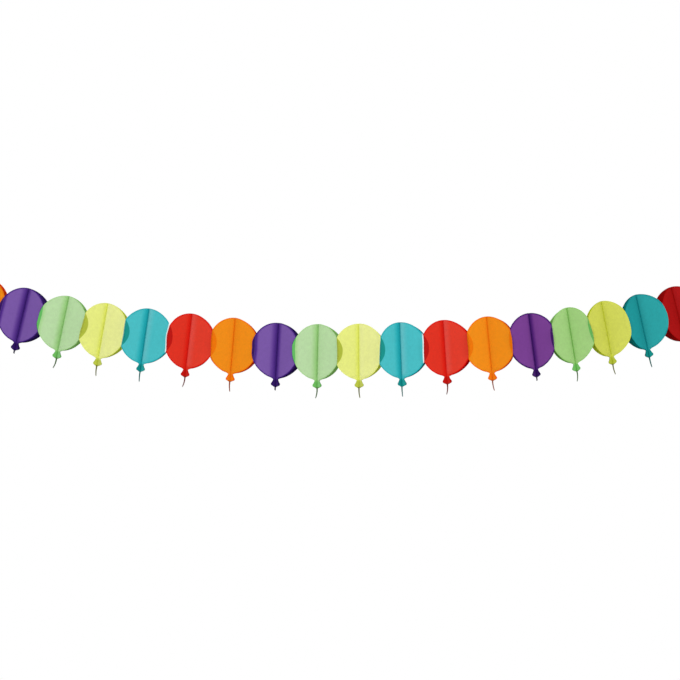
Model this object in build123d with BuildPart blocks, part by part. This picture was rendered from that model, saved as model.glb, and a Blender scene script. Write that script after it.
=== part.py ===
"""Tissue paper balloon garland.

Every balloon is two identical die-cut tissue sheets, glued to each other down the middle.
Stretched out, each sheet opens along that line into a V of two half leaves. The outer segments
of the leaves are glued to the next balloon and stand out as small two-layer fins, front and back.
Units are millimetres, X runs along the garland, -Y faces the viewer and Z is up.
The origin is the top of the first balloon's glued line, where the left end is hung.
"""

import os
from math import acos, cos, hypot, sin

from build123d import *

# Die-cut sheet, measured on the flat tissue; drops are below the middle of the round body
BODY_RADIUS = 64.0
SHOULDER = 77.0  # degrees below level where the round body runs into the neck
NECK_RADIUS = 6.8
NECK_DROP = 70.0
KNOT_RADIUS = 11.6
KNOT_DROP = 79.5
TAIL_DROP = 84.0
TAIL_ROOT = 2.4  # half width of the string under the knot
TAIL_TIP = 1.8
TAIL_END = 107.0
PAPER = 0.35  # thickness of the modelled sheet
# the cut is followed in short chords, within 0.1 mm on the body, so that so many sheets stay light
BODY_CHORDS = 28
NECK_CHORDS = 4

# Glue
MIDDLE_GLUE = 1.6  # width of the glued strip down the middle of a balloon
FIN_FOLD = 56.0  # distance from the middle line to the fold of the glued segment

# Hanging line
COLOURS = ("orange", "purple", "green", "yellow", "teal", "red")
ROUNDS = 3  # times the six colours repeat
# stretch of the garland from each balloon's middle line to the next one's
PITCH = {"orange": 102.0, "purple": 94.0, "green": 94.0, "yellow": 98.0, "teal": 101.0, "red": 103.0}
START_SLOPE = 14.6  # degrees down at the first balloon
TURN = 1.67  # degrees that the line rises at each join
# the right end turns away from the viewer and hangs slacker, join by join
TURNING_JOINS = 5
YAW = 3.0  # degrees
SLACK = 0.03  # share of the pitch

# Lean of each pair of glued fins, join by join: -1 lies to the left, +1 to the right, 0 stands out
FRONT_LEAN = (-1, -1, 0, 0, 0, 0, -1, -1, 0, 0, 0, 0, 0, 0, 0, 1, 1)
BACK_LEAN = (-1, -1, 1, 1, 1, 1, -1, -1, 1, 1, 1, 1, -1, -1, -1, 1, 1)

STRIP = MIDDLE_GLUE / 2
COUNT = len(COLOURS) * ROUNDS
FRONT, BACK = -1, 1
LEFT, RIGHT = -1, 1


def chords(curve, count):
    """Points that follow a curve in equal chords, without its end."""
    return [curve @ (k / count) for k in range(count)]


def die_cut():
    """Outline of the sheet as it is cut, flat, its middle line on Y."""
    with BuildSketch() as outline:
        with BuildLine():
            with BuildLine(mode=Mode.PRIVATE):
                body = CenterArc((0, 0), BODY_RADIUS, 90, -90 - SHOULDER)
                neck = TangentArc(body @ 1, (NECK_RADIUS, -NECK_DROP), tangent=body % 1)
                knot = TangentArc(neck @ 1, (KNOT_RADIUS, -KNOT_DROP), tangent=(0, -1))
            Polyline(
                *chords(body, BODY_CHORDS),
                *chords(neck, NECK_CHORDS),
                *chords(knot, NECK_CHORDS),
                knot @ 1,
                (TAIL_ROOT, -TAIL_DROP),
                (TAIL_TIP, TAIL_TIP - TAIL_END),
                (0, -TAIL_END),
            )
            mirror(about=Plane.YZ)
        make_face()
    return outline.sketch


def panel(outline, start, across, up, low, high):
    """Flat part of the sheet between two distances from its middle line.

    start is the place of the distance low, and across and up are the panel's directions.
    """
    with BuildSketch(Plane(start, x_dir=across, z_dir=across.cross(up))) as flat:
        with Locations((-low, 0)):
            add(outline)
        with Locations(((high - low) / 2, 0)):
            Rectangle(high - low, 4 * BODY_RADIUS, mode=Mode.INTERSECT)
    return flat.sketch


def hanging_line():
    """Planes on the garland, X along it and Z up the balloon: one per balloon and one per join."""
    first = Rot(0, START_SLOPE, 0) * Pos(0, 0, -BODY_RADIUS)
    balloons, joins, pitches = [Plane(first)], [], []
    for i in range(COUNT - 1):
        turning = max(0, i - (COUNT - 2 - TURNING_JOINS))
        pitch = PITCH[COLOURS[i % len(COLOURS)]] * (1 - SLACK * turning)
        yaw = YAW if turning else 0
        bend = Location((0, 0, 0), (0, -TURN, yaw), hypot(TURN, yaw) / 2)
        joins.append(Plane(balloons[-1].location * Pos(pitch / 2, 0, 0) * bend))
        balloons.append(Plane(joins[-1].location * bend * Pos(pitch / 2, 0, 0)))
        pitches.append(pitch)
    return balloons, joins, pitches


def sheet(outline, middle, side, pitch, join=None, leans=(0, 0)):
    """One die-cut sheet, opened on one side of a balloon's middle plane to meet a join."""
    angle = acos(pitch / 2 / (FIN_FOLD - STRIP))
    along, depth, up = middle.x_dir * side, middle.y_dir, middle.z_dir
    leaves = {}
    with BuildPart() as paper:
        strip = panel(outline, middle.origin - depth * STRIP, depth, up, -STRIP, STRIP)
        extrude(strip, amount=PAPER, dir=along)
        for face in (FRONT, BACK):
            leaf = along * cos(angle) + depth * (face * sin(angle))
            inward = along * sin(angle) - depth * (face * cos(angle))
            start = middle.origin + depth * (face * STRIP)
            half = panel(outline, start, leaf, up, STRIP, BODY_RADIUS + 1)
            extrude(half, amount=PAPER, dir=inward)
            leaves[face] = (start, leaf, inward)
        if join:
            cut = Plane(join.origin, x_dir=join.y_dir, z_dir=join.x_dir)
            split(bisect_by=cut, keep=Keep.BOTTOM if side == RIGHT else Keep.TOP)
            for face, lean in zip((FRONT, BACK), leans):
                start, leaf, inward = leaves[face]
                length = (join.origin - start).dot(join.x_dir) / leaf.dot(join.x_dir)
                fold = join.x_dir.cross(inward).normalized()
                fold = fold if fold.dot(up) > 0 else fold * -1
                place, reach = start + leaf * length, STRIP + length
                if lean:
                    # one sheet runs on into the fin, and the other is folded back under it
                    out = join.x_dir * lean
                    under = out.cross(fold) * (face * lean)
                    fin = panel(outline, place, out, fold, reach, BODY_RADIUS + 1)
                    extrude(fin, amount=PAPER, dir=under, mode=Mode.ADD if lean == side else Mode.SUBTRACT)
                    if lean != side:
                        fin = panel(outline, place + under * PAPER, out, fold, reach, BODY_RADIUS + 1)
                        extrude(fin, amount=PAPER, dir=under)
                else:
                    # both sheets stand out along the join, back to back
                    out = fold.cross(join.x_dir)
                    out = out if out.dot(join.y_dir) * face > 0 else out * -1
                    fin = panel(outline, place - out * PAPER, out, fold, reach - PAPER, BODY_RADIUS + 1)
                    extrude(fin, amount=PAPER, dir=join.x_dir * -side)
    return paper.part


def garland():
    outline = die_cut()
    balloons, joins, pitches = hanging_line()
    sheets = {}
    for i, middle in enumerate(balloons):
        for word, side, j in (("left", LEFT, i - 1), ("right", RIGHT, i)):
            if 0 <= j < len(joins):
                made = sheet(outline, middle, side, pitches[j], joins[j], (FRONT_LEAN[j], BACK_LEAN[j]))
            else:
                # the two ends are left free
                made = sheet(outline, middle, side, pitches[min(i, len(pitches) - 1)])
            made.label = f"balloon_{i + 1:02d}_{COLOURS[i % len(COLOURS)]}_{word}"
            sheets[made.label] = made
    return sheets


os.makedirs("parts", exist_ok=True)
for label, part in garland().items():
    export_step(part, f"parts/{label}.step")
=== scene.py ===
"""Tissue paper balloon garland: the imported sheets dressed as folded, thin tissue."""

import math

import bpy
from bpy.props import FloatProperty, FloatVectorProperty, IntProperty, PointerProperty
from mathutils import Matrix, Vector, noise


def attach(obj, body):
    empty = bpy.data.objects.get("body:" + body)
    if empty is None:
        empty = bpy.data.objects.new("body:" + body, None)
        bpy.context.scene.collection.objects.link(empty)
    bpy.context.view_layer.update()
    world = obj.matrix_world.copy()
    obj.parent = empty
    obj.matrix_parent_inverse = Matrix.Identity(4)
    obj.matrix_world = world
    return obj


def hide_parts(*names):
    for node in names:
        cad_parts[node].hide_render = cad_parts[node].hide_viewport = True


bl_info = {
    "name": "Paper balloon garland",
    "version": (1, 0, 0),
    "blender": (4, 5, 0),
    "location": "View3D > Sidebar > Garland",
    "description": "Die-cut tissue balloons, folded and glued edge to edge, in a studio",
    "category": "Object",
}

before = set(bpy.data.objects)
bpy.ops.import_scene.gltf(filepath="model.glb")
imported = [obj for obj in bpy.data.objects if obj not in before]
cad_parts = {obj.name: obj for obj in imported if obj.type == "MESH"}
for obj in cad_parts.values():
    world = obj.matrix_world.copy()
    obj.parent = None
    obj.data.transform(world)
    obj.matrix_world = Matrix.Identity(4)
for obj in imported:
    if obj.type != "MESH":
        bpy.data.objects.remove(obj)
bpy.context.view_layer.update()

MM = 0.001
COLOURS = ("orange", "purple", "green", "yellow", "teal", "red")
ROUNDS = 3
COUNT = len(COLOURS) * ROUNDS
FRONT, BACK = -1, 1
LEFT, RIGHT = -1, 1
# lean of the glued fins, join by join: -1 lies to the left, +1 to the right, 0 stands out
FRONT_LEAN = (-1, -1, 0, 0, 0, 0, -1, -1, 0, 0, 0, 0, 0, 0, 0, 1, 1)
BACK_LEAN = (-1, -1, 1, 1, 1, 1, -1, -1, 1, 1, 1, 1, -1, -1, -1, 1, 1)
# how far a balloon, counted from 1, hangs to the right of the even curve and above it, in mm
HANG = {
    2: (-4, -2), 5: (1.5, 2.5), 6: (2.5, 3), 7: (2, 2.5), 8: (2.5, -3), 9: (2, -2.5), 10: (2.5, -1),
    13: (-1.5, 0), 14: (-2, -3), 15: (0, -2), 16: (-3, 0), 17: (-4, 0),
}
# how far the glue let the folds slip to the right, join by join, in mm
SLIP = {
    FRONT: (0, 0, 3, 4, 6, 5, 2, 0, -1, 3, 2, 0, -2, -2, -3, -5, -3),
    BACK: (0, 0, 0, 0, 0, 0, 3, 6, 6, 6, 6, 6, 4, 4, 6, 6, 6),
}
# painted highlight: how pale each front fold is painted, join by join, where it stands out seen edge on
FOLD_HIGHLIGHT = (0, 0, 0, 0.3, 0.85, 0, 0, 0, 0, 0.3, 0.85, 0, 0, 0, 0, 0, 0)

# neck and knot as they hang, pressed flat: width as a share of the die's, and height above the die's
NECK_SHARE, NECK_LIFT = 0.95, 3.8 * MM
FLARE_SHARE, FLARE_LIFT = 0.96, 3.4 * MM
KNOT_SHARE, KNOT_LIFT = 0.88, -0.2 * MM
# thickness of a glued layer in tissues, and how many layers a fin that is turned back gives up
GLUED_LAYER = 1.1
TURNED_BACK = 2.5
# how softly the paper folds: at the middle glue, and where a fin stands out, runs on or is turned back
MIDDLE_SOFT, STAND_SOFT, RUN_SOFT, BACK_SOFT = 0.7 * MM, 1.2 * MM, 0.6 * MM, 0.25 * MM
# a fold out of reach, for the leaves that no neighbour holds
NO_FOLD = 1000 * MM
# points closer than this to the cut edge are left out
EDGE_GAP = 0.05 * MM

# lengths of the slow waves and of the fine creases across and along a sheet, and of the ripple in a fold
SLOW_ACROSS, SLOW_ALONG = 30 * MM, 42 * MM
FINE_ACROSS, FINE_ALONG = 6.5 * MM, 55 * MM
RIPPLE_ALONG = 45 * MM
# width of the curled edge, and how soon a leaf bows out beside the middle glue
CURL_WIDTH = 16 * MM
BOW_RUN = 10 * MM

# how far a fin takes the deep glue colour, by its lean: glue, and painted shade that is strongest on
# fins lying to the left
SOAK_AND_SHADE = {LEFT: 0.95, 0: 0.5, RIGHT: 0.12}
# strength of the painted shade in the middle crease, along the cut edge, on the left halves and on the
# left halves of the last balloons,
# and of the painted light on the right halves beside the middle line
VALLEY_SHADE = {"orange": 0.35, "red": 0.6}
RIM_SHADE = {"purple": 1.3, "red": 1.1, "teal": 0.7, "orange": 0.5}
LEFT_SHADE = {"yellow": 0.33, "red": 0.12}
LEFT_SHADE_END = {"yellow": 0.08, "teal": 0.25, "red": 0.2}
BLOOM_LIGHT = {"yellow": 0.08, "teal": 0.08, "red": 0.035}
# widths of the painted shade and the painted light
SHADE_WIDTH = 9 * MM
RIM_SOLID, RIM_END = 0.5 * MM, 3 * MM
BLOOM_START, BLOOM_END = 3 * MM, 20 * MM
HIGHLIGHT_WIDTH, HIGHLIGHT_EDGE = 2.8 * MM, 0.8 * MM
# a distance far from the painted shade of the back fin, in mm
NO_SHADE_LAP = -10


def linear(hex_colour):
    """Linear colour of an sRGB hex colour."""
    channels = [int(hex_colour[k : k + 2], 16) / 255 for k in (0, 2, 4)]
    return tuple(c / 12.92 if c <= 0.04045 else ((c + 0.055) / 1.055) ** 2.4 for c in channels)


def length(name, description, mm):
    """A size in millimetres, as a property in metres."""
    return FloatProperty(
        name=name, description=description, default=mm * MM, unit="LENGTH", precision=5
    )


def angle(name, description, degrees):
    """An angle in degrees, as a property."""
    return FloatProperty(
        name=name, description=description, default=math.radians(degrees), subtype="ANGLE"
    )


def tint(name, description, hex_colour):
    """A colour, as a property."""
    return FloatVectorProperty(
        name=name, description=description, default=linear(hex_colour), subtype="COLOR", min=0, max=1
    )


class GarlandSheet(bpy.types.PropertyGroup):
    """The die-cut sheet, flat, and how its glue holds it."""

    body_radius: length("Body radius", "Round body of the balloon", 64)
    shoulder: angle("Shoulder", "How far below level the body runs into the neck", 77)
    neck_radius: length("Neck half width", "Half width of the neck", 6.8)
    neck_drop: length("Neck drop", "Narrowest place below the middle of the body", 70)
    knot_radius: length("Knot half width", "Half width of the flared knot", 11.6)
    knot_drop: length("Knot drop", "Widest place of the knot below the middle", 79.5)
    tail_drop: length("String drop", "Where the string leaves the knot", 84)
    tail_root: length("String root", "Half width of the string under the knot", 2.4)
    tail_tip: length("String tip", "Half width of the string at its tip", 1.8)
    tail_end: length("String end", "Tip of the string below the middle", 107)
    tissue: length("Tissue", "Thickness of the tissue", 0.1)
    middle_glue: length("Middle glue", "Width of the glued strip down the middle", 1.6)
    fin_fold: length("Fin fold", "Fold of the glued segment from the middle line", 56)


class GarlandLine(bpy.types.PropertyGroup):
    """The line that the balloons hang on."""

    pitch: FloatVectorProperty(
        name="Pitch",
        description="Stretch from each colour's middle line to the next one's",
        size=6,
        default=[p * MM for p in (102, 94, 94, 98, 101, 103)],
        unit="LENGTH",
    )
    start_slope: angle("Start slope", "Fall of the line at the first balloon", 14.6)
    turn: angle("Turn", "Rise of the line at each join", 1.67)
    turning_joins: IntProperty(
        name="Turning joins", description="Joins of the right end that turn away", default=5
    )
    yaw: angle("Yaw", "Turn away from the viewer at each of those joins", 3)
    slack: FloatProperty(
        name="Slack", description="Share of the pitch lost, join by join", default=0.03, subtype="FACTOR"
    )


class GarlandLook(bpy.types.PropertyGroup):
    """Dyes of the tissue, its colours in painted shade, and how the sheets wave."""

    orange: tint("Orange", "Dry orange tissue", "e98f17")
    purple: tint("Purple", "Dry purple tissue", "7c5aa8")
    green: tint("Green", "Dry green tissue", "bcdaaa")
    yellow: tint("Yellow", "Dry yellow tissue", "e5e89a")
    teal: tint("Teal", "Dry teal tissue", "4cc0c6")
    red: tint("Red", "Dry red tissue", "de3d2b")
    # deep colours of glued tissue, also used as painted shade where a back fin is seen through the leaf
    # and on fins lying to the left
    orange_soaked: tint("Orange, glued and shaded", "Orange tissue soaked with glue", "e67400")
    purple_soaked: tint("Purple, glued and shaded", "Purple tissue soaked with glue", "2c0a5a")
    green_soaked: tint("Green, glued and shaded", "Green tissue soaked with glue", "5cb85a")
    yellow_soaked: tint("Yellow, glued and shaded", "Yellow tissue soaked with glue", "a8b432")
    teal_soaked: tint("Teal, glued and shaded", "Teal tissue soaked with glue", "008c80")
    red_soaked: tint("Red, glued and shaded", "Red tissue soaked with glue", "b40f0f")
    # painted shade: darker colours of the last balloons, which turn away from the light
    orange_late: tint("Orange, right end", "Deeper orange of the right end", "e68a10")
    purple_late: tint("Purple, right end", "Deeper purple of the right end", "7c4294")
    green_late: tint("Green, right end", "Deeper green of the right end", "a8d186")
    yellow_late: tint("Yellow, right end", "Deeper yellow of the right end", "d2d660")
    teal_late: tint("Teal, right end", "Deeper teal of the right end", "2da4a6")
    red_late: tint("Red, right end", "Deeper red of the right end", "b0191b")
    thin: FloatProperty(
        name="Thin",
        description="Share of light that spreads through the tissue",
        default=0.25,
        subtype="FACTOR",
    )
    # width of the painted shade of the back fin beside a fold
    lap: length("Lap", "How far the painted shade of the back fin reaches beside a fold", 14)
    wave: length("Wave", "Height of the slow waves in a half leaf", 0.9)
    crease: length("Crease", "Height of the fine creases", 0.16)
    curl: length("Curl", "Curl of the free edges", 1.4)
    # width of the painted shade beside the middle crease on left halves
    valley_shade: length("Valley", "Width of the painted shade left of the middle line", 18)
    bow: length("Bow", "How far a leaf bows out beside the middle glue", 4)
    curl_drop: length("Curl drop", "Free length of a purple string before it curls back", 3)
    curl_radius: length("Curl radius", "Radius of that curl", 4)
    ripple: length("Ripple", "How far a glued fold waves to both sides", 4)
    string_sway: length("String sway", "How far a string's tip hangs to one side", 3)


class GarlandStage(bpy.types.PropertyGroup):
    """Camera, lights and floor."""

    camera_place: FloatVectorProperty(
        name="Camera place",
        description="Where the camera stands",
        default=(1.03, -4.025, -0.3547),
        subtype="XYZ",
        unit="LENGTH",
    )
    camera_aim: FloatVectorProperty(
        name="Camera aim",
        description="Middle of the picture",
        default=(0.8156, 0.0, -0.1452),
        subtype="XYZ",
        unit="LENGTH",
    )
    lens: FloatProperty(
        name="Lens", description="Focal length on a 36 mm sensor", default=93.13, unit="CAMERA"
    )
    camera_roll: angle("Camera roll", "How far the camera leans to its left", 0.13)
    floor_drop: length("Floor drop", "Floor below the hanging point", 1750)
    floor: tint("Floor", "Pale floor", "f4f4f2")


# Flat sheet


def arc(start, tangent, end, steps):
    """Points of the arc that leaves start along tangent and reaches end, without start."""
    normal = Vector((-tangent.y, tangent.x))
    chord = end - start
    radius = chord.length_squared / (2 * chord.dot(normal))
    centre = start + normal * radius
    turn = 2 * (tangent.angle_signed(chord))
    arm = start - centre
    return [centre + Matrix.Rotation(-turn * k / steps, 2) @ arm for k in range(1, steps + 1)]


def straight(start, end, steps):
    """Points of a straight run, without its start."""
    return [start.lerp(end, k / steps) for k in range(1, steps + 1)]


def half_outline(cut):
    """Half of the die line, from the top of the body to the tip of the string."""
    r, shoulder = cut.body_radius, cut.shoulder
    steps = 56
    span = math.pi / 2 + shoulder
    turns = [math.pi / 2 - span * k / steps for k in range(steps + 1)]
    points = [Vector((r * math.cos(t), r * math.sin(t))) for t in turns]
    points[0].x = 0
    along = Vector((-math.sin(shoulder), -math.cos(shoulder)))
    neck = Vector((NECK_SHARE * cut.neck_radius, NECK_LIFT - cut.neck_drop))
    flare = Vector((FLARE_SHARE * cut.knot_radius, FLARE_LIFT - cut.knot_drop))
    knot = Vector((KNOT_SHARE * cut.knot_radius, KNOT_LIFT - cut.knot_drop))
    root = Vector((cut.tail_root, -cut.tail_drop))
    tip = Vector((cut.tail_tip, cut.tail_tip - cut.tail_end))
    points += arc(points[-1], along, neck, 6)
    points += arc(neck, Vector((0.25, -1)).normalized(), flare, 5)
    points += straight(flare, knot, 2)
    points += straight(knot, root, 4)
    points += straight(root, tip, 10)
    points.append(Vector((0, -cut.tail_end)))
    return points


def columns(strip):
    """Distances from the middle line at which a half leaf has points.

    Each one is a fixed length and a share of the fold's distance.
    """
    near = [(v * MM, 0) for v in (0, 0.4)]
    near += [(strip, 0)] + [(v * MM, 0) for v in (1.2, 1.8, 2.8, 4.5)]
    first, last, steps = 7 * MM, 5 * MM, 14
    middle = [(first - (first + last) * k / steps, k / steps) for k in range(steps + 1)]
    fold = [(v * MM, 1) for v in (-3, -1.6, -0.8, -0.3, 0, 0.3, 0.8, 1.6, 3, 5, 7)]
    return near + middle + fold


# Hanging line


def hanging_line(cut, line):
    """Frames of the balloons and of the joins, X along the garland and Z up, and the pitches."""
    drop = Matrix.Translation((0, 0, -cut.body_radius))
    balloons = [Matrix.Rotation(line.start_slope, 4, "Y") @ drop]
    joins, pitches = [], []
    for i in range(COUNT - 1):
        turning = max(0, i - (COUNT - 2 - line.turning_joins))
        pitch = line.pitch[i % len(COLOURS)] * (1 - line.slack * turning)
        yaw = line.yaw if turning else 0
        bend = Matrix.Rotation(math.hypot(line.turn, yaw) / 2, 4, Vector((0, -line.turn, yaw)))
        half = Matrix.Translation((pitch / 2, 0, 0))
        joins.append(balloons[-1] @ half @ bend)
        balloons.append(joins[-1] @ bend @ half)
        pitches.append(pitch)
    return balloons, joins, pitches


def axes(place):
    """Origin and the three directions of a frame."""
    return place.to_translation(), *(place.col[k].to_3d() for k in range(3))


# Folded sheet


def rounded(corner, before, after, s, soft):
    """Point at distance s past a fold that is rounded over the distance soft on both sides."""
    if s <= -soft:
        return corner + before * s
    if s >= soft:
        return corner + after * s
    came, left = (soft - s) ** 2 / (4 * soft), (soft + s) ** 2 / (4 * soft)
    return corner - before * came + after * left


def smooth(low, high, value):
    """Smooth step from 0 at low to 1 at high."""
    t = min(1, max(0, (value - low) / (high - low)))
    return t * t * (3 - 2 * t)


class HalfLeaf:
    """One half of a sheet, from the middle line over the leaf to the glued fin."""

    def __init__(self, cut, middle, side, face, pitch, join, lean):
        origin, x, y, z = axes(middle)
        self.strip, self.layer = cut.middle_glue / 2, cut.tissue * GLUED_LAYER
        self.along, self.up = x * side, z
        self.depth = y * face
        opening = math.acos(pitch / 2 / (cut.fin_fold - self.strip))
        self.leaf = self.along * math.cos(opening) + self.depth * math.sin(opening)
        self.outward = self.depth * math.cos(opening) - self.along * math.sin(opening)
        self.start = origin + self.along * (self.layer / 2) + self.depth * self.strip
        self.join, self.soft = None, STAND_SOFT
        if join:
            self.join, self.across, _, _ = axes(join)
            fold = self.across.cross(self.outward).normalized()
            if lean:
                self.out = self.across * lean
                self.short = 0 if lean == side else TURNED_BACK * self.layer / math.sin(opening)
                self.soft = RUN_SOFT if lean == side else BACK_SOFT
            else:
                self.out = fold.cross(self.across)
                if self.out.dot(self.depth) < 0:
                    self.out.negate()
                self.short = 0
                self.join = self.join - self.across * (side * self.layer / 2)

    def fold(self, height):
        """Distance of the fin's fold from the middle line, at a height on the sheet."""
        if not self.join:
            return NO_FOLD
        start = self.start + self.up * height
        run = (self.join - start).dot(self.across) / self.leaf.dot(self.across)
        return self.strip + run - self.short

    def point(self, s, height, fold):
        """Place of the sheet's point at distance s from the middle line."""
        start = self.start + self.up * height
        if self.join and s > fold - self.soft:
            corner = start + self.leaf * (fold - self.strip)
            return rounded(corner, self.leaf, self.out, s - fold, self.soft)
        return rounded(start, self.depth, self.leaf, s - self.strip, MIDDLE_SOFT)


class GlueAndPaintedLight:
    """How glue, painted shade and painted light colour one half of a sheet."""

    def __init__(self, look, colour, side, face, lean, lap, late, worn):
        self.lap, self.worn, self.side, self.face = lap, worn, side, face
        self.soak_and_shade = 0 if worn else SOAK_AND_SHADE[lean]
        shaded = face == FRONT and lean == side == LEFT
        self.shade = (0.5 if colour == "green" else 0.9) if shaded else 0
        # strengths of the painted shade: middle crease, side facing into the balloon, strings, dark
        # strings and cut edge
        self.valley_shade = VALLEY_SHADE.get(colour, 1)
        self.inner_shade = 0.6 if colour == "green" else 1
        self.string = 0.3 if colour == "orange" else 1.2
        self.twist = 0 if colour in ("teal", "purple") else 0.65
        self.rim_shade = RIM_SHADE.get(colour, 0.4)
        self.base = self.bloom_light = 0
        # painted shade on the left halves, which face away from the light, and painted light on the
        # right halves beside the middle line
        if side == LEFT:
            self.band = 5 * MM if colour == "orange" or late else look.valley_shade
            self.base = (LEFT_SHADE_END if late else LEFT_SHADE).get(colour, 0)
        else:
            self.band = 13 * MM if colour == "purple" else 4 * MM
            self.bloom_light = 0 if late else BLOOM_LIGHT.get(colour, 0)

    def marks(self, cut, s, height, half_width, fold):
        """Marks at a point: glue with painted shade, distance in mm into the painted shade of the back
        fin, painted shade on the outer side and on the side facing into the balloon, painted light,
        painted shade of the string.

        The painted shade of the side facing into the balloon has the sign of its face.
        """
        strip = cut.middle_glue / 2
        # glue with painted shade on the fins, at the knot and on the string
        fins = self.soak_and_shade * smooth(fold - 0.5 * MM, fold + 1 * MM, s)
        knot = 0.7 * smooth(0.97 * cut.body_radius, cut.neck_drop, -height)
        string = smooth(cut.knot_drop, cut.tail_drop, -height)
        fin = cut.body_radius - cut.fin_fold
        over = (half_width - fold) / MM - (fold - s) / MM * fin / (self.lap or 1)
        edge = half_width - s if s < fold else 1
        # painted shade: middle crease, cut edge, band beside a fin lying to the left, left halves and
        # strings
        valley_shade = self.valley_shade * max(0, 1 - max(0, s - strip) / self.band) ** 1.2
        on_body = -height < math.sin(cut.shoulder) * cut.body_radius
        cut_edge = min(edge, cut.body_radius - math.hypot(s, height)) if on_body else edge
        # painted shade along the cut edge
        rim_shade = self.rim_shade * (1 - smooth(RIM_SOLID, RIM_END, cut_edge)) if s < fold else 0
        shade = self.shade * (1 - smooth(0, SHADE_WIDTH, fold - s)) if s < fold else 0
        outside_shade = max(valley_shade, rim_shade, shade, self.base, self.string * string)
        # painted shade on the side facing into the balloon, deepest near the cut edge
        inside = self.face * self.inner_shade * (0.7 + 1.5 * (1 - smooth(0, SHADE_WIDTH, edge)))
        # painted light: a pale glow on right halves beside the middle line
        pale = self.bloom_light * (1 - smooth(strip + BLOOM_START, strip + BLOOM_END, s))
        pale *= smooth(strip, strip + BLOOM_START, s)
        pale *= 1 - smooth(0.8 * cut.body_radius, 0.97 * cut.body_radius, -height)
        # painted highlight along the edge of a front fold
        start = fold - HIGHLIGHT_WIDTH * self.worn if self.side == RIGHT else fold
        pale = max(pale, self.worn * smooth(start, start + HIGHLIGHT_EDGE, s))
        over = over if self.lap and s < fold else NO_SHADE_LAP
        return max(fins, knot, string), over, outside_shade, inside, pale, self.twist * string


def ripple_of(look, seed, height):
    """How far a glued fold waves along the garland at a height."""
    return look.ripple * noise.noise(Vector((seed * 3.71, height / RIPPLE_ALONG, 2.6)))


def wave_of(look, cut, seed, s, face, height, half_width, fold):
    """How far a half leaf waves out of its plane. It is still along the glue."""
    hold = smooth(2 * MM, 16 * MM, s) * (1 - smooth(fold - 14 * MM, fold - 1 * MM, s))
    # uneven factors keep the waves of one sheet apart from the next one's
    slow = noise.noise(Vector((s / SLOW_ACROSS + seed * 7.31, height / SLOW_ALONG, face * 3.7)))
    fine = noise.noise(Vector((s / FINE_ACROSS + seed * 3.17, height / FINE_ALONG, 9.1 + face)))
    edge = half_width - s if height > -0.95 * cut.body_radius else CURL_WIDTH
    lift = noise.noise(Vector((seed * 1.93, face * 5.1, 0.4 + math.copysign(1.3, height))))
    free = (1 - smooth(0, CURL_WIDTH, edge)) * lift
    bow = (1 - math.exp(-s / BOW_RUN)) * max(0, 1 - s / fold)
    ease = smooth(0.85 * cut.body_radius, cut.neck_drop, -height)
    bow *= 1 - 0.8 * ease
    flat = 0.25 * ease * max(0, s - cut.middle_glue)
    return look.bow * bow - flat + hold * (look.wave * slow + look.crease * fine + look.curl * free)


def curl(run, y, z, look):
    """How a string that hangs straight moves when it curls back, at a distance along it."""
    run -= look.curl_drop
    if run <= 0:
        return Vector()
    radius = look.curl_radius
    turn = min(math.pi / 2, run / radius)
    past = run - turn * radius
    return z * (run - radius * math.sin(turn)) + y * (radius * (1 - math.cos(turn)) + past)


def string_hang(cut, look, i, middle, height):
    """How far the string of a balloon hangs out of line at a height. Purple ones curl back."""
    _, x, y, z = axes(middle)
    below = max(0, -height - cut.knot_drop)
    if COLOURS[i % len(COLOURS)] == "purple":
        return curl(below - (cut.tail_drop - cut.knot_drop), y, z, look)
    below /= cut.tail_end - cut.knot_drop
    swing = look.string_sway * math.sin(2.1 * i + 0.7)
    nod = look.string_sway * 0.6 * math.cos(1.7 * i)
    return x * (swing * (below**2 - 0.35 * math.sin(math.pi * below))) + y * (nod * below**2)


def row_stops(stops, fold, half_width):
    """Distances of a row's points from the middle line, as far as the cut edge or the last stop."""
    found = []
    for fixed, share in stops:
        s = fixed + share * fold
        if s >= half_width - EDGE_GAP:
            break
        found.append(s)
    return found if len(found) == len(stops) else found + [half_width]


def sheet_faces(rows, sides, width):
    """Faces between the rows of a sheet, all turned the same way."""
    faces = []
    for upper, lower in zip(rows, rows[1:]):
        for face in sides:
            a, b = upper[face], lower[face]
            for j in range(width - 1):
                ring = [a[j], a[j + 1], b[j + 1], b[j]]
                ring = [v for k, v in enumerate(ring) if v != ring[k - 1]]
                if len(set(ring)) > 2:
                    faces.append(ring if face == BACK else ring[::-1])
    return faces


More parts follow.
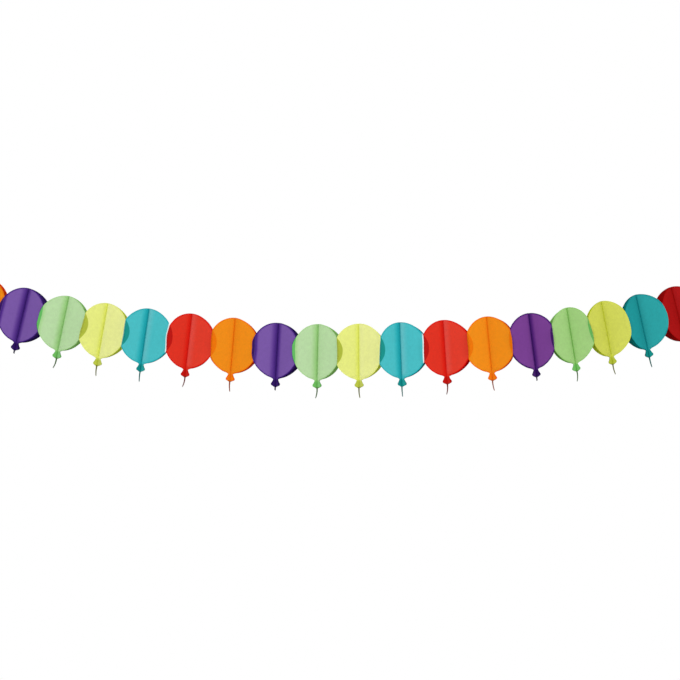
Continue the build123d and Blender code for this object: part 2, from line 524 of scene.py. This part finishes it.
def sheet_mesh(name, cut, look, outline, middle, halves, glue_and_light, seed, joint, late):
    """Mesh of one folded sheet, with flat coordinates as UV and its glue, painted shade and painted
    light as attributes.
    """
    stops = columns(cut.middle_glue / 2)
    points, flat, marks, rows = [], [], [], []
    i, is_right = divmod(seed, 2)
    beside = min(max(i + (1 if is_right else -1), 0), COUNT - 1)
    aside, lift = (v * MM for v in HANG.get(i + 1, (0, 0)))
    fold_lift = (lift + HANG.get(beside + 1, (0, 0))[1] * MM) / 2
    for half_width, height in outline:
        row = {}
        hang = string_hang(cut, look, i, middle, height)
        for face, half in halves.items():
            fold = half.fold(height)
            indices = []
            for s in row_stops(stops, min(fold, cut.body_radius), half_width):
                if s == 0 and "middle" in row:
                    indices.append(row["middle"])
                    continue
                place = half.point(s, height, fold)
                place += half.outward * wave_of(look, cut, seed, s, face, height, half_width, fold)
                reach = min(1, s / fold)
                place.z += lift + reach * (fold_lift - lift)
                if half.join:
                    slip = aside + reach * (SLIP[face][joint] * MM - aside)
                    ripple = ripple_of(look, 2 * joint + face, height)
                    place += half.across * (slip + reach**2 * ripple)
                place += hang
                if s == 0:
                    row["middle"] = len(points)
                indices.append(len(points))
                points.append(place)
                flat.append((face * s, height))
                marks.append(glue_and_light[face].marks(cut, s, height, half_width, fold))
            row[face] = indices + [indices[-1]] * (len(stops) - len(indices))
        rows.append(row)
    mesh = bpy.data.meshes.new(name)
    mesh.from_pydata(points, [], sheet_faces(rows, halves, len(stops)))
    mesh.update()
    for title, values in zip(("glue", "lap", "shut", "inside", "pale", "twist"), zip(*marks)):
        mesh.attributes.new(title, "FLOAT", "POINT").data.foreach_set("value", values)
    ends = [late] * len(points)
    mesh.attributes.new("late", "FLOAT", "POINT").data.foreach_set("value", ends)
    uv = mesh.uv_layers.new(name="flat")
    shift = Vector((seed * 0.0371, seed * 0.0173))
    for loop in mesh.loops:
        uv.data[loop.index].uv = Vector(flat[loop.vertex_index]) + shift
    return mesh


# Materials


def node(tree, kind, settings=None, **links):
    """Adds a node, sets its properties and sockets, and links sockets to it."""
    made = tree.nodes.new(kind)
    for key, value in (settings or {}).items():
        if isinstance(key, str) and hasattr(made, key):
            setattr(made, key, value)
        else:
            made.inputs[key].default_value = value
    for key, source in links.items():
        numbered = key[0] == "i" and key[1:].isdigit()
        socket = int(key[1:]) if numbered else key.replace("_", " ")
        tree.links.new(source, made.inputs[socket])
    return made


def tissue_material(name, dry, late, glue_shade, look):
    """Thin dyed tissue: matt, cloudy, with fibres, deeper where glue soaks it, darker where shade is
    painted and pale where light is painted.
    """
    made = bpy.data.materials.new(name)
    made.use_nodes = True
    tree = made.node_tree
    tree.nodes.clear()
    flat = node(tree, "ShaderNodeUVMap", {"uv_map": "flat"}).outputs[0]
    glue, lap, shut, pale, twist, end = (
        node(tree, "ShaderNodeAttribute", {"attribute_name": title}).outputs["Fac"]
        for title in ("glue", "lap", "shut", "pale", "twist", "late")
    )
    # cloudy pulp, clouds of about 9 mm
    pulp = {"noise_dimensions": "2D", "Scale": 110.0, "Detail": 4.0, "Roughness": 0.6}
    cloud = node(tree, "ShaderNodeTexNoise", pulp, Vector=flat).outputs["Fac"]
    # fibres, about 0.7 by 6 mm, upright on the sheet
    stretched = node(tree, "ShaderNodeMapping", {"Scale": (1400.0, 170.0, 1.0)}, Vector=flat)
    strands = {"noise_dimensions": "2D", "Scale": 1.0, "Detail": 2.0}
    fibre = node(tree, "ShaderNodeTexNoise", strands, Vector=stretched.outputs[0]).outputs["Fac"]
    shade = node(tree, "ShaderNodeMapRange", {1: 0.3, 2: 0.7, 3: 0.965, 4: 1.03}, Value=cloud)
    thread = node(tree, "ShaderNodeMapRange", {1: 0.25, 2: 0.75, 3: 0.96, 4: 1.04}, Value=fibre)
    times = {"operation": "MULTIPLY"}
    both = node(tree, "ShaderNodeMath", times, i0=shade.outputs[0], i1=thread.outputs[0])
    # painted shade of the glued back fin, seen through the leaf, with an edge of half a millimetre
    back_fin_shade = node(tree, "ShaderNodeMapRange", {1: 0.0, 2: 0.5, 3: 0.0, 4: 0.85}, Value=lap)
    soak_and_shade = node(tree, "ShaderNodeMath", {"operation": "MAXIMUM"}, i0=glue, i1=back_fin_shade.outputs[0])
    # painted shade: the last balloons take their darker colours
    end_shaded = node(tree, "ShaderNodeMix", {"data_type": "RGBA", 6: (*dry, 1), 7: (*late, 1)}, i0=end)
    glue_shade_mix = {"data_type": "RGBA", 7: (*glue_shade, 1)}
    dye_and_shade = node(tree, "ShaderNodeMix", glue_shade_mix, i0=soak_and_shade.outputs[0], i6=end_shaded.outputs[2])
    # painted shade: where light is kept in by the paper, it meets the colour again, a little lifted
    again = node(tree, "ShaderNodeGamma", {"Color": (*dry, 1)}, Gamma=shut)
    bounce = node(tree, "ShaderNodeMath", {"operation": "MULTIPLY_ADD", 1: 0.22, 2: 1.0}, i0=shut)
    scale = {"operation": "SCALE"}
    lifted = node(tree, "ShaderNodeVectorMath", scale, i0=again.outputs[0], Scale=bounce.outputs[0])
    deep = node(tree, "ShaderNodeVectorMath", times, i0=dye_and_shade.outputs[2], i1=lifted.outputs[0])
    # painted light: pale along the front folds as a highlight, and as a glow beside the middle line
    white = {"data_type": "RGBA", 7: (1, 1, 1, 1)}
    worn = node(tree, "ShaderNodeMix", white, i0=pale, i6=deep.outputs[0])
    # painted shade: the strings are painted dull and dark
    dark = {"data_type": "RGBA", 7: (*linear("4a3c30"), 1)}
    drawn = node(tree, "ShaderNodeMix", dark, i0=twist, i6=worn.outputs[2])
    colour = node(tree, "ShaderNodeVectorMath", scale, i0=drawn.outputs[2], Scale=both.outputs[0])
    # crepe lines, about 2 mm apart
    folds = node(tree, "ShaderNodeMapping", {"Scale": (520.0, 60.0, 1.0)}, Vector=flat)
    lines = {"noise_dimensions": "2D", "Scale": 1.0, "Detail": 3.0}
    crepe = node(tree, "ShaderNodeTexNoise", lines, Vector=folds.outputs[0]).outputs["Fac"]
    bump = node(tree, "ShaderNodeBump", {"Strength": 0.2, "Distance": 0.6 * MM}, Height=crepe)
    dull = node(tree, "ShaderNodeMapRange", {1: 0.3, 2: 0.7, 3: 0.82, 4: 0.95}, Value=cloud)
    paper = node(
        tree,
        "ShaderNodeBsdfPrincipled",
        {"Specular IOR Level": 0.1},
        Base_Color=colour.outputs[0],
        Roughness=dull.outputs[0],
        Normal=bump.outputs[0],
    )
    lit = node(
        tree, "ShaderNodeBsdfTranslucent", None, Color=colour.outputs[0], Normal=bump.outputs[0]
    )
    mix = node(tree, "ShaderNodeMixShader", {0: look.thin}, i1=paper.outputs[0], i2=lit.outputs[0])
    node(tree, "ShaderNodeOutputMaterial", None, Surface=mix.outputs[0])
    return made


def floor_material(colour):
    """Pale painted board, hardly cloudy."""
    made = bpy.data.materials.new("pale_floor")
    made.use_nodes = True
    tree = made.node_tree
    tree.nodes.clear()
    where = node(tree, "ShaderNodeTexCoord").outputs["Object"]
    cloud = node(tree, "ShaderNodeTexNoise", {"Scale": 1.5, "Detail": 2.0}, Vector=where).outputs["Fac"]
    shade = node(tree, "ShaderNodeMapRange", {1: 0.3, 2: 0.7, 3: 0.98, 4: 1.0}, Value=cloud)
    scale = {"operation": "SCALE", 0: colour}
    paint = node(tree, "ShaderNodeVectorMath", scale, Scale=shade.outputs[0])
    # lifted to near white for the eye only, so that the floor joins the backdrop
    eye = node(tree, "ShaderNodeLightPath").outputs["Is Camera Ray"]
    lift = node(tree, "ShaderNodeMath", {"operation": "MULTIPLY", 1: 0.36}, i0=eye)
    board = node(
        tree,
        "ShaderNodeBsdfPrincipled",
        {"Roughness": 0.8, "Emission Color": (1, 1, 1, 1)},
        Base_Color=paint.outputs[0],
        Emission_Strength=lift.outputs[0],
    )
    node(tree, "ShaderNodeOutputMaterial", None, Surface=board.outputs[0])
    return made


# Operators


class GARLAND_OT_sheets(bpy.types.Operator):
    """Folds every die-cut sheet of the garland and glues it to its neighbours"""

    bl_idname = "garland.sheets"
    bl_label = "Tissue sheets"

    def execute(self, context):
        scene = context.scene
        cut, line, look = scene.garland_sheet, scene.garland_line, scene.garland_look
        dyes = {}
        for colour in COLOURS:
            tints = (tuple(getattr(look, colour + end)) for end in ("", "_late", "_soaked"))
            dyes[colour] = tissue_material(f"{colour}_tissue", *tints, look)
        outline = [tuple(p) for p in half_outline(cut)]
        balloons, joins, pitches = hanging_line(cut, line)
        for i, middle in enumerate(balloons):
            colour = COLOURS[i % len(COLOURS)]
            late = float(i >= COUNT - line.turning_joins)
            for word, side, j in (("left", LEFT, i - 1), ("right", RIGHT, i)):
                node_name = f"balloon_{i + 1:02d}_{colour}_{word}"
                joined = 0 <= j < len(joins)
                pitch = pitches[j] if joined else pitches[min(i, len(pitches) - 1)]
                halves, glue_and_light = {}, {}
                for face, leans in ((FRONT, FRONT_LEAN), (BACK, BACK_LEAN)):
                    join, lean = (joins[j], leans[j]) if joined else (None, 0)
                    # painted shade of the back fin goes on front leaves beside a standing fin, where the
                    # back fin leans toward them
                    shows = joined and face == FRONT and not lean and BACK_LEAN[j] == -side
                    lap = (look.lap if side == LEFT else look.lap / 2) if shows else 0
                    # painted highlight of the front fold
                    worn = FOLD_HIGHLIGHT[j] if joined and face == FRONT else 0
                    halves[face] = HalfLeaf(cut, middle, side, face, pitch, join, lean)
                    glue_and_light[face] = GlueAndPaintedLight(look, colour, side, face, lean, lap, late, worn)
                seed = 2 * i + (side > 0)
                mesh = sheet_mesh(
                    f"{node_name}_sheet", cut, look, outline, middle, halves, glue_and_light, seed, j, late
                )
                mesh.materials.append(dyes[colour])
                piece = bpy.data.objects.new(f"{node_name}_sheet", mesh)
                scene.collection.objects.link(piece)
                thicken(context, piece, cut.tissue)
                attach(piece, "root")
                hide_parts(node_name)
        return {"FINISHED"}


def thicken(context, piece, thickness):
    """Gives an open sheet its thickness and smooth faces with crisp edges."""
    bpy.ops.object.select_all(action="DESELECT")
    piece.select_set(True)
    context.view_layer.objects.active = piece
    solid = piece.modifiers.new("thickness", "SOLIDIFY")
    solid.thickness, solid.offset = thickness, 0
    count = len(piece.data.vertices)
    bpy.ops.object.modifier_apply(modifier=solid.name)
    settle(piece.data, count)
    bpy.ops.object.shade_smooth_by_angle(angle=math.radians(35))
    piece.select_set(False)


def settle(mesh, count):
    """Gives the side of each point that faces into the balloon its own painted shade."""
    held, inside = mesh.attributes["shut"].data, mesh.attributes["inside"].data
    for k in range(count):
        depth, face = inside[k].value, math.copysign(1, inside[k].value)
        ahead = mesh.vertices[k].co.y - mesh.vertices[k + count].co.y
        held[k if ahead * face < 0 else k + count].value = abs(depth)
    mesh.attributes.remove(mesh.attributes["inside"])


class GARLAND_OT_stage(bpy.types.Operator):
    """Adds the pale floor, the soft lights and the camera"""

    bl_idname = "garland.stage"
    bl_label = "Studio"

    def execute(self, context):
        scene, stage = context.scene, context.scene.garland_stage
        scene.view_settings.view_transform = "Standard"
        bpy.ops.object.select_all(action="DESELECT")
        bpy.ops.mesh.primitive_circle_add(
            vertices=96, radius=2.6, fill_type="NGON", location=(0.8, 0.2, -stage.floor_drop)
        )
        floor = context.object
        floor.name = "floor"
        floor.data.materials.append(floor_material(tuple(stage.floor)))
        self.lamp(context, "key", place=(0, -3.2, 0.6), aim=(0.7, 0, -0.15), size=1.2, power=63)
        self.lamp(
            context, "fill", place=(2.6, -1.2, 0.2), aim=(1.5, 0.05, -0.05), size=0.8, power=11
        )
        self.world(scene)
        bpy.ops.object.camera_add(location=stage.camera_place)
        camera = context.object
        camera.data.lens = stage.lens
        camera.data.sensor_width = 36
        aim = Vector(stage.camera_aim) - Vector(stage.camera_place)
        roll = Matrix.Rotation(stage.camera_roll, 3, "Z")
        camera.rotation_euler = (aim.to_track_quat("-Z", "Y").to_matrix() @ roll).to_euler()
        scene.camera = camera
        return {"FINISHED"}

    def lamp(self, context, name, place, aim, size, power):
        """A square soft box turned to a point."""
        bpy.ops.object.light_add(type="AREA", location=place)
        lamp = context.object
        lamp.name = name
        lamp.data.energy, lamp.data.size = power, size
        turn = Vector(aim) - Vector(place)
        lamp.rotation_euler = turn.to_track_quat("-Z", "Y").to_euler()

    def world(self, scene):
        """White to the eye, a little softer as light."""
        world = bpy.data.worlds.new("studio")
        scene.world = world
        world.use_nodes = True
        tree = world.node_tree
        tree.nodes.clear()
        path = node(tree, "ShaderNodeLightPath").outputs
        seen = path["Is Camera Ray"]
        for ray in ("Is Glossy Ray", "Is Transmission Ray"):
            either = node(tree, "ShaderNodeMath", {"operation": "MAXIMUM"}, i0=seen, i1=path[ray])
            seen = either.outputs[0]
        white = node(tree, "ShaderNodeBackground", {"Color": (1, 1, 1, 1), "Strength": 1.0})
        light = node(tree, "ShaderNodeBackground", {"Color": (1, 1, 1, 1), "Strength": 0.63})
        mix = node(
            tree, "ShaderNodeMixShader", None, i0=seen, i1=light.outputs[0], i2=white.outputs[0]
        )
        node(tree, "ShaderNodeOutputWorld", None, Surface=mix.outputs[0])


class GARLAND_PT_panel(bpy.types.Panel):
    """Sizes, dyes and stage of the garland"""

    bl_label = "Garland"
    bl_idname = "GARLAND_PT_panel"
    bl_space_type = "VIEW_3D"
    bl_region_type = "UI"
    bl_category = "Garland"

    def draw(self, context):
        for name in GROUPS:
            group = getattr(context.scene, name)
            box = self.layout.box()
            for key in group.__annotations__:
                box.prop(group, key)
        self.layout.operator(GARLAND_OT_sheets.bl_idname)
        self.layout.operator(GARLAND_OT_stage.bl_idname)


GROUPS = {
    "garland_sheet": GarlandSheet,
    "garland_line": GarlandLine,
    "garland_look": GarlandLook,
    "garland_stage": GarlandStage,
}
CLASSES = (*GROUPS.values(), GARLAND_OT_sheets, GARLAND_OT_stage, GARLAND_PT_panel)


def register():
    for c in CLASSES:
        bpy.utils.register_class(c)
    for name, group in GROUPS.items():
        setattr(bpy.types.Scene, name, PointerProperty(type=group))


def unregister():
    for name in GROUPS:
        delattr(bpy.types.Scene, name)
    for c in reversed(CLASSES):
        bpy.utils.unregister_class(c)


def main():
    register()
    bpy.ops.garland.sheets()
    bpy.ops.garland.stage()


if __name__ == "__main__":
    main()
